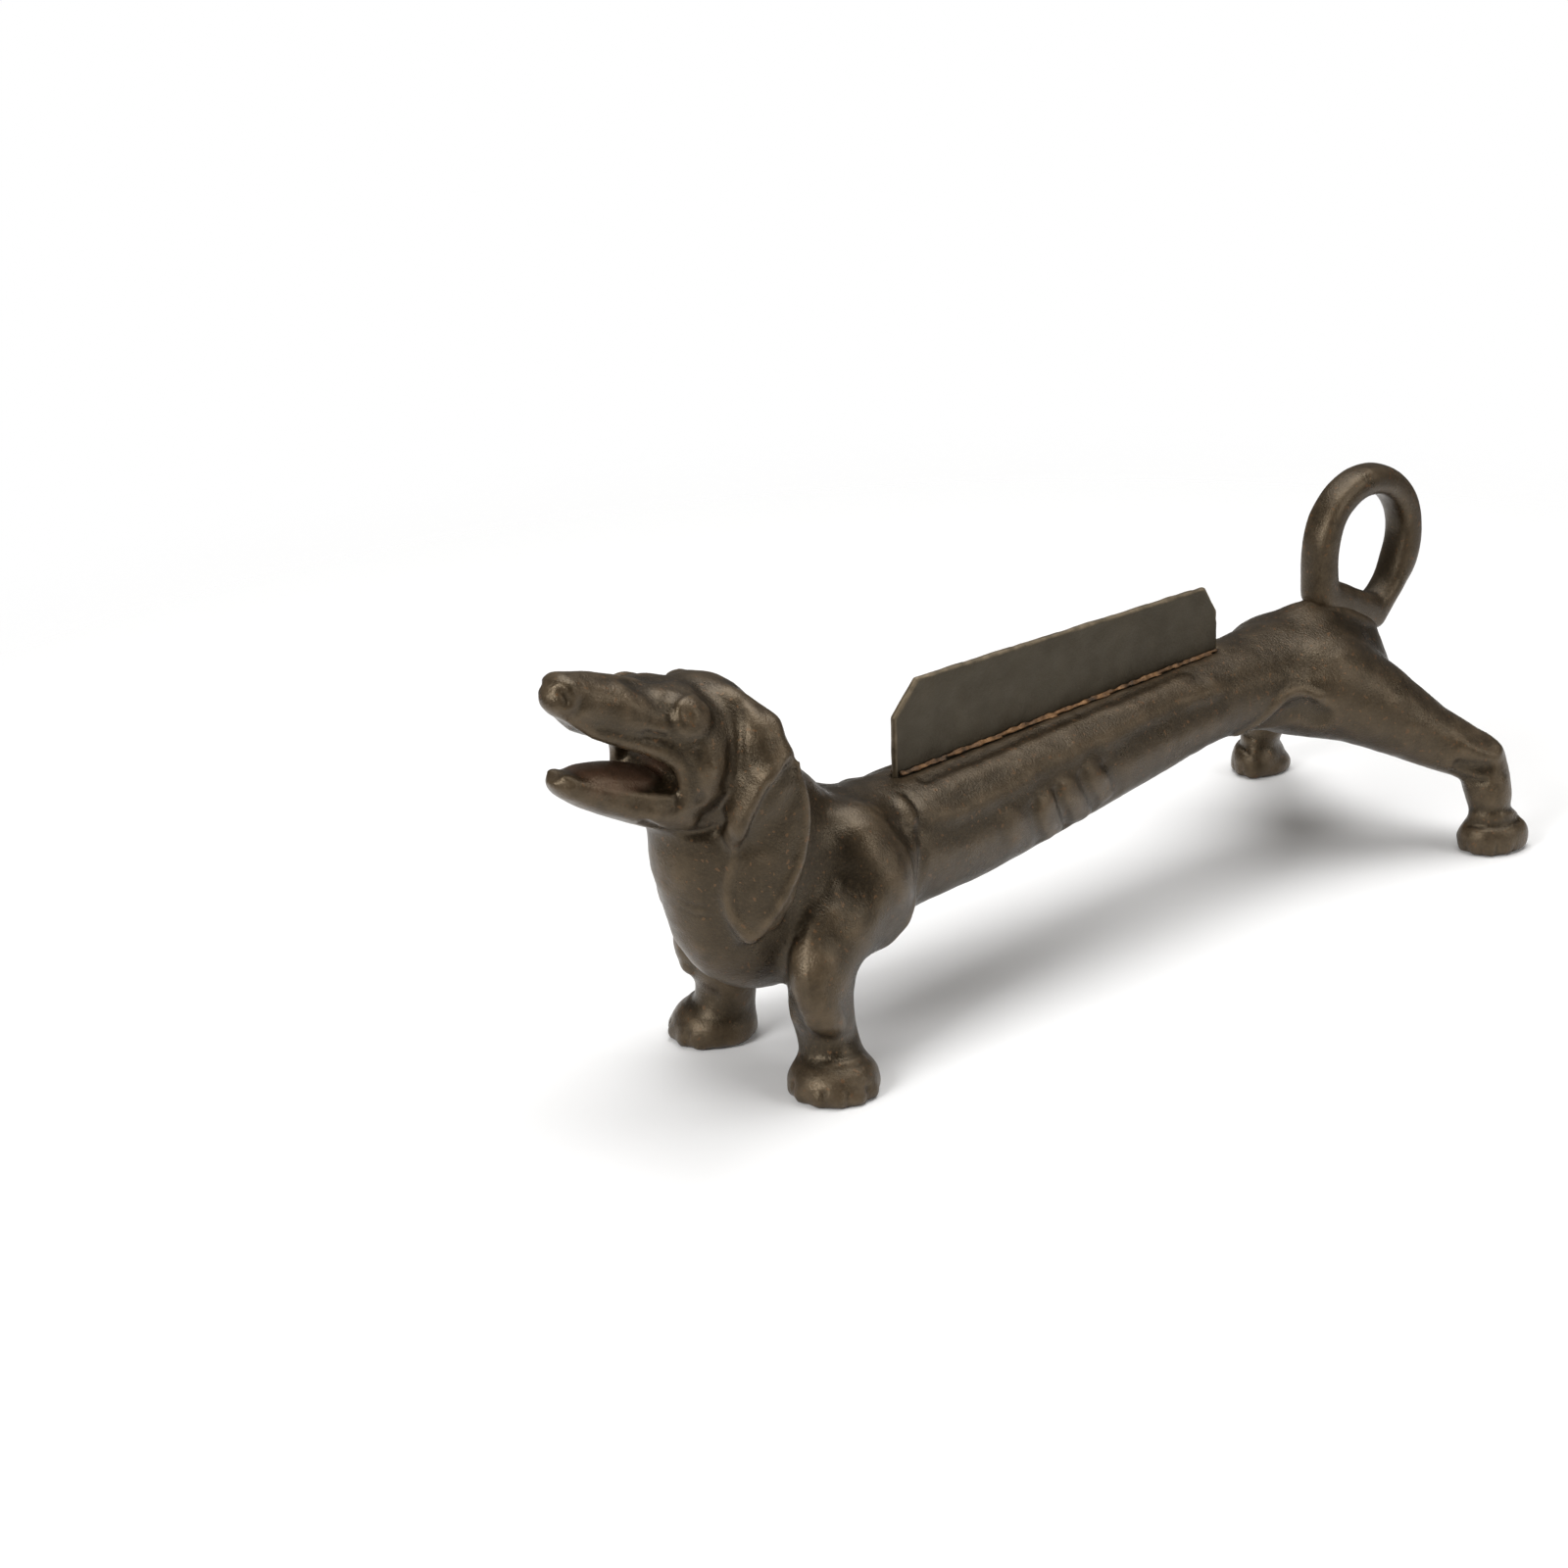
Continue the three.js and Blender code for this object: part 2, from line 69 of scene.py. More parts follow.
def select_only(piece):
    """Leaves edit mode and selects this piece alone."""
    if bpy.context.object and bpy.context.object.mode != "OBJECT":
        bpy.ops.object.mode_set(mode="OBJECT")
    bpy.ops.object.select_all(action="DESELECT")
    piece.select_set(True)
    bpy.context.view_layer.objects.active = piece


def finish_with(piece, kind, **values):
    """Adds one modifier to the piece and applies it."""
    select_only(piece)
    modifier = piece.modifiers.new(kind.lower(), kind)
    for key, value in values.items():
        setattr(modifier, key, value)
    bpy.ops.object.modifier_apply(modifier=modifier.name)


def rough_from(node_name, piece_name):
    """A new piece that starts as the merged shape of a CAD node."""
    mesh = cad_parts[node_name].data.copy()
    mesh.materials.clear()
    piece = bpy.data.objects.new(piece_name, mesh)
    bpy.context.collection.objects.link(piece)
    select_only(piece)
    bpy.ops.object.mode_set(mode="EDIT")
    bpy.ops.mesh.select_all(action="SELECT")
    bpy.ops.mesh.remove_doubles(threshold=MERGE_WITHIN)
    bpy.ops.object.mode_set(mode="OBJECT")
    return piece


def join_into(piece, extras):
    """Makes the extras part of the piece."""
    bpy.ops.object.select_all(action="DESELECT")
    for extra in extras:
        extra.select_set(True)
    piece.select_set(True)
    bpy.context.view_layer.objects.active = piece
    bpy.ops.object.join()


def points_of(piece):
    """The places of the piece's points, in mm."""
    count = len(piece.data.vertices)
    points = np.empty(count * 3)
    piece.data.vertices.foreach_get("co", points)
    return points.reshape(count, 3) / MM


def normals_of(piece):
    """The outward directions at the piece's points."""
    count = len(piece.data.vertices)
    normals = np.empty(count * 3)
    piece.data.vertices.foreach_get("normal", normals)
    return normals.reshape(count, 3)


def put_points(piece, points):
    """Moves the piece's points to these places, in mm."""
    piece.data.vertices.foreach_set("co", (points * MM).ravel())
    piece.data.update()


def mirrored(line):
    """The same line on the other flank."""
    return [(-x, y, z) for x, y, z in line]


def fall_off(gap, radius):
    """1 on the line, easing to 0 at the radius."""
    return (1.0 - np.clip(gap / radius, 0.0, 1.0) ** 2) ** 2


def distance_to_line(points, line):
    """Distance in mm from each point to a broken line."""
    nearest = np.full(len(points), FAR_AWAY)
    for start, end in zip(line[:-1], line[1:]):
        start, end = np.array(start, float), np.array(end, float)
        run = end - start
        share = np.clip(((points - start) @ run) / (run @ run), 0.0, 1.0)
        gap = np.linalg.norm(points - start - share[:, None] * run, axis=1)
        nearest = np.minimum(nearest, gap)
    return nearest


def along_both_flanks(points, line, radius):
    """How strongly each point is touched by a tool drawn along the line on both flanks."""
    near = fall_off(distance_to_line(points, line), radius)
    far = fall_off(distance_to_line(points, mirrored(line)), radius)
    return np.maximum(near, far)


def stroke(piece, line, radius, height):
    """Raises (or with a negative height sinks) the surface along a line, in mm, on both flanks."""
    points = points_of(piece)
    lift = along_both_flanks(points, rounded_line(line), radius) * height
    put_points(piece, points + normals_of(piece) * lift[:, None])


def step(piece, line, radius, height, soft):
    """A fold edge along a line, in mm, on both flanks: the surface rises towards the line's left
    and sinks towards its right, seen from outside on the flank where x is positive."""
    points = points_of(piece)
    normals = normals_of(piece)
    near_line = rounded_line(line)
    lift = np.zeros(len(points))
    for side, path in ((1.0, near_line), (-1.0, mirrored(near_line))):
        path = [np.array(place, float) for place in path]
        nearest = np.full(len(points), FAR_AWAY)
        beside = np.zeros(len(points))
        for start, end in zip(path[:-1], path[1:]):
            run = end - start
            share = np.clip(((points - start) @ run) / (run @ run), 0.0, 1.0)
            away = points - start - share[:, None] * run
            gap = np.linalg.norm(away, axis=1)
            closer = gap < nearest
            across = np.cross(run / np.linalg.norm(run), away)
            nearest[closer] = gap[closer]
            beside[closer] = side * np.einsum("ij,ij->i", across, normals)[closer]
        lift += fall_off(nearest, radius) * np.tanh(beside / soft)
    put_points(piece, points + normals * (lift * height)[:, None])


def rounded_line(line):
    """Catmull-Rom points through a line of three or more points."""
    if len(line) < 3:
        return line
    ends = [np.array(p, float) for p in line]
    path = [2 * ends[0] - ends[1]] + ends + [2 * ends[-1] - ends[-2]]
    out = []
    for a, b, c, d in zip(path[:-3], path[1:-2], path[2:-1], path[3:]):
        for t in (0.0, 0.34, 0.67):
            out.append(tuple(0.5 * (
                2 * b + (c - a) * t + (2 * a - 5 * b + 4 * c - d) * t * t
                + (3 * b - a - 3 * c + d) * t ** 3)))
    out.append(tuple(ends[-1]))
    return out


def ripple(piece, size, height, seed):
    """Small unevenness of a sand-cast or hand-dressed surface, in mm."""
    points = points_of(piece)
    normals = normals_of(piece)
    shift = Vector((seed, seed * 1.7, seed * 0.6))
    lift = np.array([noise.noise(Vector(p) / size + shift) for p in points])
    put_points(piece, points + normals * (lift * height)[:, None])


def eased(piece, points, rounds):
    """The points after each has moved to the middle of its neighbours, round after round."""
    count = len(piece.data.edges)
    ends = np.empty(count * 2, dtype=np.int64)
    piece.data.edges.foreach_get("vertices", ends)
    one, other = ends.reshape(count, 2).T
    valence = np.bincount(ends, minlength=len(points))[:, None]
    soft = points
    for _ in range(rounds):
        total = np.zeros_like(soft)
        for axis in range(3):
            total[:, axis] = (np.bincount(one, soft[other, axis], len(soft))
                              + np.bincount(other, soft[one, axis], len(soft)))
        soft = (soft + total / valence) / 2
    return soft


def crown(piece, rounds):
    """How far each point stands out (above 0) or lies in a crease (below 0), in mm."""
    points = points_of(piece)
    return np.einsum("ij,ij->i", points - eased(piece, points, rounds), normals_of(piece))


SOFTEN_FULLY = 1.6


def soften(piece, line, radius, rounds):
    """Evens out the surface along a line, on both flanks."""
    points = points_of(piece)
    soft = eased(piece, points, rounds)
    share = np.clip(along_both_flanks(points, line, radius) * SOFTEN_FULLY, 0.0, 1.0)
    put_points(piece, points + (soft - points) * share[:, None])


def disc(piece, centre, radii, height, edge):
    """Raises a flat-topped oval on both flanks, in mm; edge is the slope's share of the radius."""
    points = points_of(piece)
    normals = normals_of(piece)
    lift = np.zeros(len(points))
    for side in (1.0, -1.0):
        reach = np.linalg.norm((points - np.array(centre) * (side, 1, 1)) / radii, axis=1)
        lift += 0.5 * (1.0 - np.tanh((reach - 1.0) / edge)) * (normals[:, 0] * side > 0.0)
    put_points(piece, points + normals * (lift * height)[:, None])


def mark(piece, name, values):
    """Keeps a value between 0 and 1 on each point for the finish to use."""
    layer = piece.data.attributes.new(name, "FLOAT", "POINT")
    layer.data.foreach_set("value", np.clip(values, 0.0, 1.0).astype(np.float32))


def mark_wear_and_ridge_highlight(piece, rounds, least, span):
    """Marks the ridges to be lightened, none at the least height, full a span above: rubbed wear, and on the
    cast iron also a painted highlight along the ridges.
    """
    mark(piece, "wear_and_ridge_highlight", (crown(piece, rounds) - least) / span)


def ball(name, centre, radii, turn=(0, 0, 0)):
    """A UV ball stretched to the three radii, in mm."""
    bpy.ops.mesh.primitive_uv_sphere_add(segments=24, ring_count=14, radius=1.0,
                                         location=(0, 0, 0))
    lump = bpy.context.object
    lump.name = name
    bpy.ops.object.mode_set(mode="EDIT")
    bpy.ops.mesh.select_all(action="SELECT")
    bpy.ops.transform.resize(value=[r * MM for r in radii], center_override=(0, 0, 0))
    for axis, angle in zip("XYZ", turn):
        if angle:
            bpy.ops.transform.rotate(value=math.radians(angle), orient_axis=axis,
                                     center_override=(0, 0, 0))
    bpy.ops.transform.translate(value=[c * MM for c in centre])
    bpy.ops.object.mode_set(mode="OBJECT")
    return lump


# ---------------------------------------------------------------- finishes

# the part of a noise's range that is used, and the colour sockets of the mix node
GRAIN_LOW, GRAIN_HIGH = 0.3, 0.7
MIX_UNDER, MIX_OVER, MIX_RESULT = 6, 7, 2


def link(tree, source, target):
    tree.links.new(source, target)


def new_finish(name):
    """A new material, its tree, its shader and the place on the object that its grain follows."""
    material = bpy.data.materials.new(name)
    material.use_nodes = True
    tree = material.node_tree
    shader = tree.nodes["Principled BSDF"]
    where = tree.nodes.new("ShaderNodeTexCoord")
    return material, tree, shader, where.outputs["Object"]


def grain(tree, place, scale, detail, roughness):
    """Cloudy noise; the scale is in lumps per metre."""
    node = tree.nodes.new("ShaderNodeTexNoise")
    node.inputs["Scale"].default_value = scale
    node.inputs["Detail"].default_value = detail
    node.inputs["Roughness"].default_value = roughness
    link(tree, place, node.inputs["Vector"])
    return node.outputs["Fac"]


def ramp(tree, value, stops):
    """Colours for a value, from one stop to the next."""
    node = tree.nodes.new("ShaderNodeValToRGB")
    elements = node.color_ramp.elements
    while len(elements) < len(stops):
        elements.new(0.5)
    for element, (position, colour) in zip(elements, stops):
        element.position = position
        element.color = (*colour, 1.0)
    link(tree, value, node.inputs["Fac"])
    return node.outputs["Color"]


def spread(tree, value, low, high):
    """A grain value stretched to run from low to high."""
    node = tree.nodes.new("ShaderNodeMapRange")
    node.inputs["From Min"].default_value = GRAIN_LOW
    node.inputs["From Max"].default_value = GRAIN_HIGH
    node.inputs["To Min"].default_value = low
    node.inputs["To Max"].default_value = high
    link(tree, value, node.inputs["Value"])
    return node.outputs["Result"]


def marked(tree, name):
    """The value that mark() left on the piece."""
    node = tree.nodes.new("ShaderNodeAttribute")
    node.attribute_name = name
    return node.outputs["Fac"]


def times(tree, one, other):
    """One value times the other."""
    node = tree.nodes.new("ShaderNodeMath")
    node.operation = "MULTIPLY"
    link(tree, one, node.inputs[0])
    link(tree, other, node.inputs[1])
    return node.outputs["Value"]


def over(tree, share, under, colour):
    """The colour laid over what is under it, as far as the share says."""
    node = tree.nodes.new("ShaderNodeMix")
    node.data_type = "RGBA"
    link(tree, share, node.inputs["Factor"])
    link(tree, under, node.inputs[MIX_UNDER])
    node.inputs[MIX_OVER].default_value = (*colour, 1.0)
    return node.outputs[MIX_RESULT]


def relief(tree, height, depth, normal=None):
    """Fine bumps up to the depth in mm, on top of bumps already made."""
    node = tree.nodes.new("ShaderNodeBump")
    node.inputs["Strength"].default_value = 1.0
    node.inputs["Distance"].default_value = depth * MM
    link(tree, height, node.inputs["Height"])
    if normal is not None:
        link(tree, normal, node.inputs["Normal"])
    return node.outputs["Normal"]


def waxed_iron_finish():
    material, tree, shader, place = new_finish("waxed_iron")
    patches = grain(tree, place, 26.0, 6.0, 0.62)
    colour = ramp(tree, patches, [
        (0.28, (0.0040, 0.0026, 0.0013)),
        (0.50, (0.0085, 0.0056, 0.0028)),
        (0.66, (0.0165, 0.0105, 0.0050)),
        (0.80, (0.0340, 0.0175, 0.0070)),
    ])
    speckle = grain(tree, place, 650.0, 3.0, 0.7)
    colour = over(tree, spread(tree, speckle, -0.6, 0.8), colour, (0.034, 0.0225, 0.0115))
    breaks = grain(tree, place, 150.0, 4.0, 0.6)
    # lighter ridges: partly rubbed wear, partly a painted highlight along the ridges
    wear_and_ridge_highlight = times(tree, marked(tree, "wear_and_ridge_highlight"), spread(tree, breaks, 0.2, 1.0))
    colour = over(tree, wear_and_ridge_highlight, colour, (0.070, 0.049, 0.029))
    flecks = spread(tree, grain(tree, place, 430.0, 1.0, 0.5), -34.0, 0.8)
    colour = over(tree, flecks, colour, (0.090, 0.044, 0.019))
    mouth = times(tree, marked(tree, "mouth"), spread(tree, breaks, 0.5, 1.0))
    colour = over(tree, mouth, colour, (0.075, 0.040, 0.025))
    link(tree, colour, shader.inputs["Base Color"])
    shader.inputs["IOR"].default_value = 1.58
    shader.inputs["Specular Tint"].default_value = (1.0, 0.80, 0.56, 1.0)
    sheen = grain(tree, place, 60.0, 5.0, 0.6)
    link(tree, spread(tree, sheen, 0.24, 0.38), shader.inputs["Roughness"])
    waves = grain(tree, place, 150.0, 4.0, 0.55)
    sand = grain(tree, place, 950.0, 3.0, 0.7)
    normal = relief(tree, sand, 0.27, relief(tree, waves, 0.14))
    link(tree, normal, shader.inputs["Normal"])
    return material


def bar_steel_finish():
    material, tree, shader, place = new_finish("bar_steel")
    patches = grain(tree, place, 30.0, 6.0, 0.6)
    colour = ramp(tree, patches, [
        (0.30, (0.021, 0.0165, 0.0100)),
        (0.55, (0.029, 0.0232, 0.0145)),
        (0.78, (0.040, 0.0300, 0.0180)),
    ])
    breaks = grain(tree, place, 240.0, 4.0, 0.6)
    # rubbed wear, lighter on the plate's edges and ridges
    wear_and_ridge_highlight = times(tree, marked(tree, "wear_and_ridge_highlight"), spread(tree, breaks, 0.25, 1.0))
    colour = over(tree, wear_and_ridge_highlight, colour, (0.17, 0.13, 0.085))
    link(tree, colour, shader.inputs["Base Color"])
    shader.inputs["Metallic"].default_value = 0.15
    shader.inputs["IOR"].default_value = 1.6
    shader.inputs["Specular Tint"].default_value = (1.0, 0.86, 0.64, 1.0)
    sheen = grain(tree, place, 90.0, 5.0, 0.6)
    link(tree, spread(tree, sheen, 0.36, 0.50), shader.inputs["Roughness"])
    scale = grain(tree, place, 240.0, 5.0, 0.65)
    sand = grain(tree, place, 800.0, 3.0, 0.65)
    normal = relief(tree, sand, 0.12, relief(tree, scale, 0.22))
    link(tree, normal, shader.inputs["Normal"])
    return material


def braze_finish():
    material, tree, shader, place = new_finish("braze")
    patches = grain(tree, place, 130.0, 6.0, 0.7)
    colour = ramp(tree, patches, [
        (0.34, (0.036, 0.022, 0.011)),
        (0.50, (0.140, 0.070, 0.026)),
        (0.66, (0.270, 0.140, 0.055)),
    ])
    link(tree, colour, shader.inputs["Base Color"])
    shader.inputs["Metallic"].default_value = 0.3
    shader.inputs["Roughness"].default_value = 0.55
    bumps = grain(tree, place, 500.0, 3.0, 0.6)
    link(tree, relief(tree, bumps, 0.25), shader.inputs["Normal"])
    return material


waxed_iron = waxed_iron_finish()
bar_steel = bar_steel_finish()
braze = braze_finish()


# ---------------------------------------------------------------- the dog casting

RINGS_PER_SPAN = 6
ROUNDS_OF_EASING = 3


def roll(name, line, thick):
    """A closed round roll laid along a line, its radius changing from point to point, in mm."""
    places = np.array([(*point, radius) for point, radius in zip(line, thick)])
    count = RINGS_PER_SPAN * (len(places) - 1) + 1
    steps = np.linspace(0, len(places) - 1, count)
    smooth = np.stack([np.interp(steps, range(len(places)), places[:, n]) for n in range(4)], 1)
    for _ in range(ROUNDS_OF_EASING):
        smooth[1:-1] = (smooth[:-2] + 2 * smooth[1:-1] + smooth[2:]) / 4
    data = bpy.data.curves.new(name, "CURVE")
    data.dimensions = "3D"
    data.bevel_depth = MM
    data.bevel_resolution = 3
    data.use_fill_caps = True
    spline = data.splines.new("POLY")
    spline.points.add(count - 1)
    for point, (x, y, z, radius) in zip(spline.points, smooth):
        point.co = (x * MM, y * MM, z * MM, 1.0)
        point.radius = radius
    body = bpy.data.objects.new(name, data)
    bpy.context.collection.objects.link(body)
    select_only(body)
    bpy.ops.object.convert(target="MESH")
    return bpy.context.object


# balls on both flanks: name, centre, radii, in mm
BALLS = [
    ("fore sole", (41.0, -153.0, 3.0), (17.4, 17.8, 8.0)),
    ("fore toe", (30.5, -165.4, 2.6), (4.4, 4.4, 4.4)),
    ("fore toe", (37.8, -167.4, 2.8), (4.6, 4.8, 4.8)),
    ("fore toe", (45.6, -165.8, 2.8), (4.6, 4.8, 4.8)),
    ("fore toe", (51.6, -160.8, 2.8), (4.6, 4.6, 4.8)),
    ("fore toe", (54.8, -153.8, 2.6), (4.6, 4.4, 4.6)),
    ("fore toe", (54.0, -146.2, 2.4), (4.2, 4.2, 4.2)),
    ("hind sole", (71.5, 237.0, 3.0), (13.4, 15.0, 7.4)),
    ("hind toe", (66.6, 224.4, 2.8), (4.2, 4.2, 4.6)),
    ("hind toe", (73.6, 224.6, 2.8), (4.2, 4.4, 4.8)),
    ("hind toe", (79.0, 227.6, 2.8), (4.2, 4.4, 4.8)),
    ("hind toe", (82.2, 233.0, 2.8), (4.2, 4.2, 4.6)),
    ("hind toe", (82.4, 239.8, 2.6), (4.0, 4.0, 4.2)),
]
# rolls on both flanks: name, points along the middle, the radius at each point, in mm
ROLLS = [
    ("upper lip", [(3.5, -252.5, 185.0), (6.6, -240.5, 175.0), (9.8, -229.0, 169.8), (13.2, -219.5, 165.8),
                   (17.4, -212.2, 160.8), (20.4, -208.4, 155.4), (21.0, -208.4, 149.6),
                   (21.6, -209.0, 143.0), (21.6, -211.0, 137.0)],
     [2.6, 3.8, 4.6, 5.0, 5.0, 4.4, 3.6, 3.2, 2.4]),
    ("lower lip", [(3.0, -255.6, 159.4), (8.0, -250.0, 155.4), (11.4, -242.3, 151.4), (14.4, -232.6, 148.0),
                   (17.2, -222.8, 144.8), (19.2, -214.0, 142.4)],
     [2.4, 2.4, 2.4, 2.3, 2.3, 2.2]),
    ("ear rim", [(40.2, -167.1, 148.9), (41.2, -163.8, 135.7), (41.7, -164.2, 120.1), (41.5, -168.3, 106.7),
                 (38.6, -173.9, 94.3), (34.1, -178.8, 83.7), (29.0, -180.6, 75.2)],
     [1.4, 1.9, 2.0, 2.0, 1.9, 1.8, 1.6]),
    ("upper fore leg", [(17.0, -134.0, 100.0), (21.0, -134.0, 92.0), (24.5, -139.0, 82.0), (28.0, -148.0, 72.0),
                        (33.0, -156.0, 62.0), (37.0, -160.0, 53.0), (38.6, -160.0, 45.0),
                        (39.6, -157.0, 36.0), (40.2, -154.5, 29.0), (40.6, -153.0, 21.0)],
     [6.0, 8.0, 9.2, 9.8, 10.0, 10.0, 9.6, 8.8, 7.6, 5.0]),
]

# the same for the dog's middle plane; balls also with their turn in degrees
MIDDLE_ROLLS = [
    ("bridge of the nose", [(0, -251.0, 194.4), (0, -239.5, 191.4), (0, -227.6, 186.6), (0, -216.0, 181.2)],
     [6.2, 6.8, 7.0, 7.4]),
]
MIDDLE_BALLS = [
    ("chin", (0.0, -252.8, 155.0), (9.4, 5.4, 5.2), (0, 0, 0)),
    ("tongue", (0.0, -229.0, 150.0), (14.0, 25.0, 6.4), (16, 0, 0)),
    ("tail root", (0.0, 216.0, 87.0), (13.0, 19.0, 11.0), (38, 0, 0)),
    ("tail pad", (0.0, 208.6, 104.6), (12.6, 26.5, 6.4), (27.5, 0, 0)),
]

dog = rough_from("dog_casting", "dog_figure")
finish_with(dog, "SUBSURF", levels=2, render_levels=2)

lumps = []
for side in (1, -1):
    for name, (x, y, z), radii in BALLS:
        lumps.append(ball(name, (side * x, y, z), radii))
for name, line, thick in ROLLS:
    lumps.append(roll(name, line, thick))
    lumps.append(roll(name, mirrored(line), thick))
for name, line, thick in MIDDLE_ROLLS:
    lumps.append(roll(name, line, thick))
for name, centre, radii, turn in MIDDLE_BALLS:
    lumps.append(ball(name, centre, radii, turn))
join_into(dog, lumps)
finish_with(dog, "REMESH", mode="VOXEL", voxel_size=1.25 * MM)
finish_with(dog, "SMOOTH", factor=0.5, iterations=8)

# places that are evened out before the shaping: name, radius, rounds, points along the surface in mm
EVENED = [
    ("eye socket", 14.0, 90, [(16.0, -209.0, 184.0), (25.0, -206.0, 178.0), (24.0, -196.0, 175.0)]),
    ("ear top", 11.0, 80, [(29.0, -178.0, 172.5), (35.0, -180.0, 165.5), (38.0, -182.0, 156.0)]),
    ("ear front", 12.0, 70, [(36.0, -187.0, 140.0), (34.0, -191.0, 128.0), (29.0, -190.0, 116.0),
                             (23.0, -190.0, 98.0)]),
    ("fore wrist", 9.0, 60, [(29.0, -163.0, 24.0), (38.0, -165.0, 25.0), (46.0, -156.0, 25.0),
                             (44.0, -143.0, 25.0)]),
]
for name, radius, rounds, line in EVENED:
    soften(dog, line, radius, rounds)
EYE_CENTRE, EYE_RADII, EYE_HEIGHT, EYE_EDGE = (25.6, -205.0, 176.2), (9.8, 9.2, 7.8), 1.9, 0.17
disc(dog, EYE_CENTRE, EYE_RADII, EYE_HEIGHT, EYE_EDGE)

